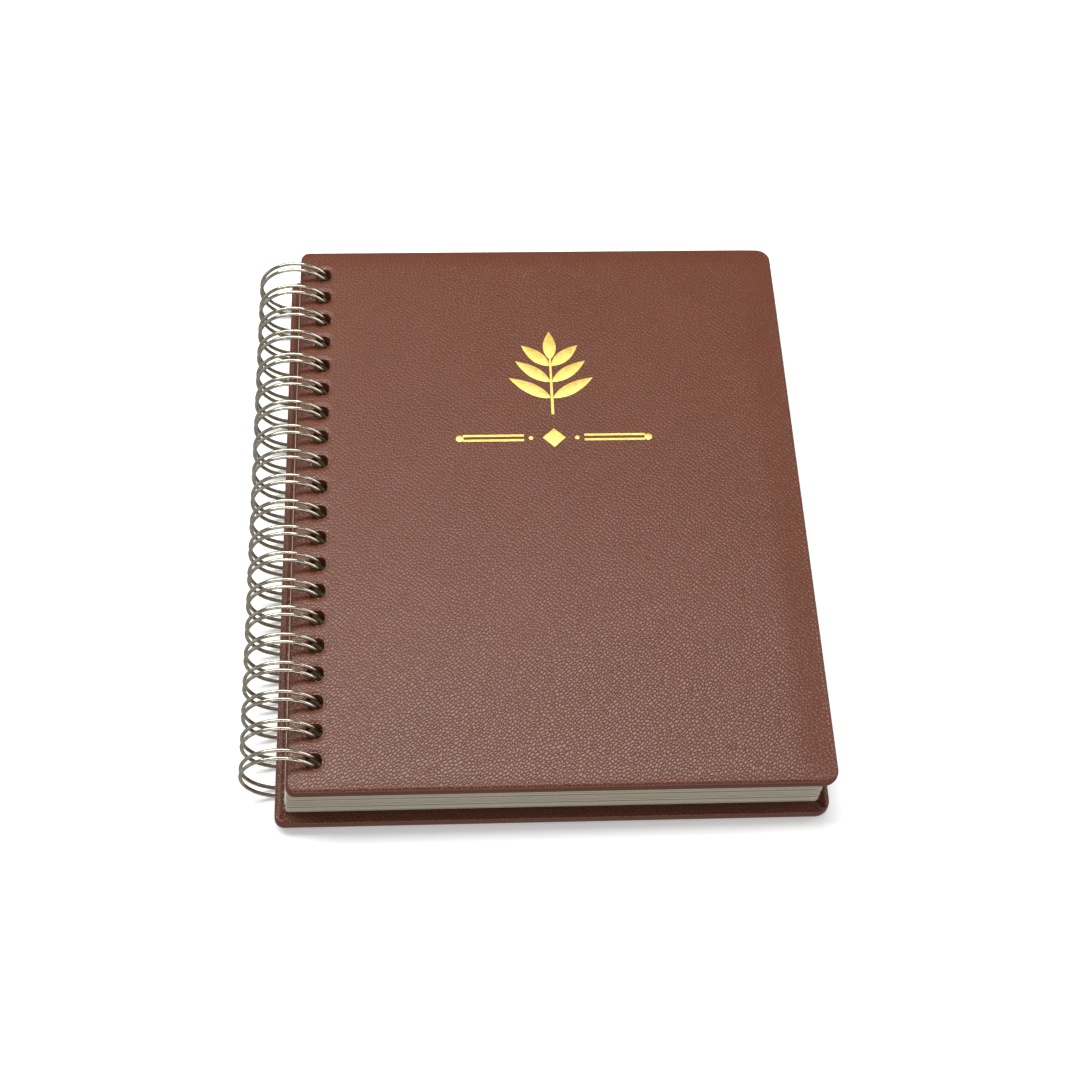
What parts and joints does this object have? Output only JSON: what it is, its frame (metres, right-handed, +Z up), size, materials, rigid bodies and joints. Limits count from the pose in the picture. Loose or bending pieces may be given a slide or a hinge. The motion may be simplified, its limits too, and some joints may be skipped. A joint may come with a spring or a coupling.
{
  "type": "wire-bound notebook",
  "caption": "Twin-loop wire-bound hardcover notebook whose padded leatherette covers and leaves swing round the wire to lie open flat.",
  "frame": {"origin": "centre of the bounding box at its base, where the wire loops touch the table", "axes": "+X from the binding to the fore edge, +Y from the foot to the head of the page, +Z up through the front cover"},
  "size_m": [0.152, 0.1812, 0.0216],
  "materials": {
    "leatherette": "pebble-grained satin",
    "foam": "matte",
    "board": "matte",
    "endpaper": "matte",
    "page": "uncoated matte",
    "foil": "polished gilt",
    "wire": "antique polished"
  },
  "bodies": {
    "back_cover": {"back_wrap": "leatherette", "back_padding": "foam", "back_board": "board", "back_liner": "endpaper", "binding_wire": "wire"},
    "back_leaves": {"page_block_7": "page", "page_block_8": "page", "page_block_9": "page"},
    "middle_leaves": {"page_block_4": "page", "page_block_5": "page", "page_block_6": "page"},
    "front_leaves": {"page_block_1": "page", "page_block_2": "page", "page_block_3": "page"},
    "first_leaf": {"first_leaf": "page"},
    "front_cover": {"front_wrap": "leatherette", "front_padding": "foam", "front_board": "board", "front_liner": "endpaper", "foil_sprig": "foil", "foil_rule": "foil"}
  },
  "joints": [
    {"name": "back_leaves_turn", "type": "hinge", "parent": "back_cover", "child": "back_leaves", "pos_m": [-0.0652, 0, 0.0108], "axis": [0, -1, 0], "range_deg": [0, 180]},
    {"name": "middle_leaves_turn", "type": "hinge", "parent": "back_leaves", "child": "middle_leaves", "pos_m": [-0.0652, 0, 0.0108], "axis": [0, -1, 0], "range_deg": [0, 180]},
    {"name": "front_leaves_turn", "type": "hinge", "parent": "middle_leaves", "child": "front_leaves", "pos_m": [-0.0652, 0, 0.0108], "axis": [0, -1, 0], "range_deg": [0, 180]},
    {"name": "first_leaf_turn", "type": "hinge", "parent": "front_leaves", "child": "first_leaf", "pos_m": [-0.0652, 0, 0.0108], "axis": [0, -1, 0], "range_deg": [0, 180]},
    {"name": "front_cover_open", "type": "hinge", "parent": "first_leaf", "child": "front_cover", "pos_m": [-0.0652, 0, 0.0108], "axis": [0, -1, 0], "range_deg": [0, 180]}
  ]
}
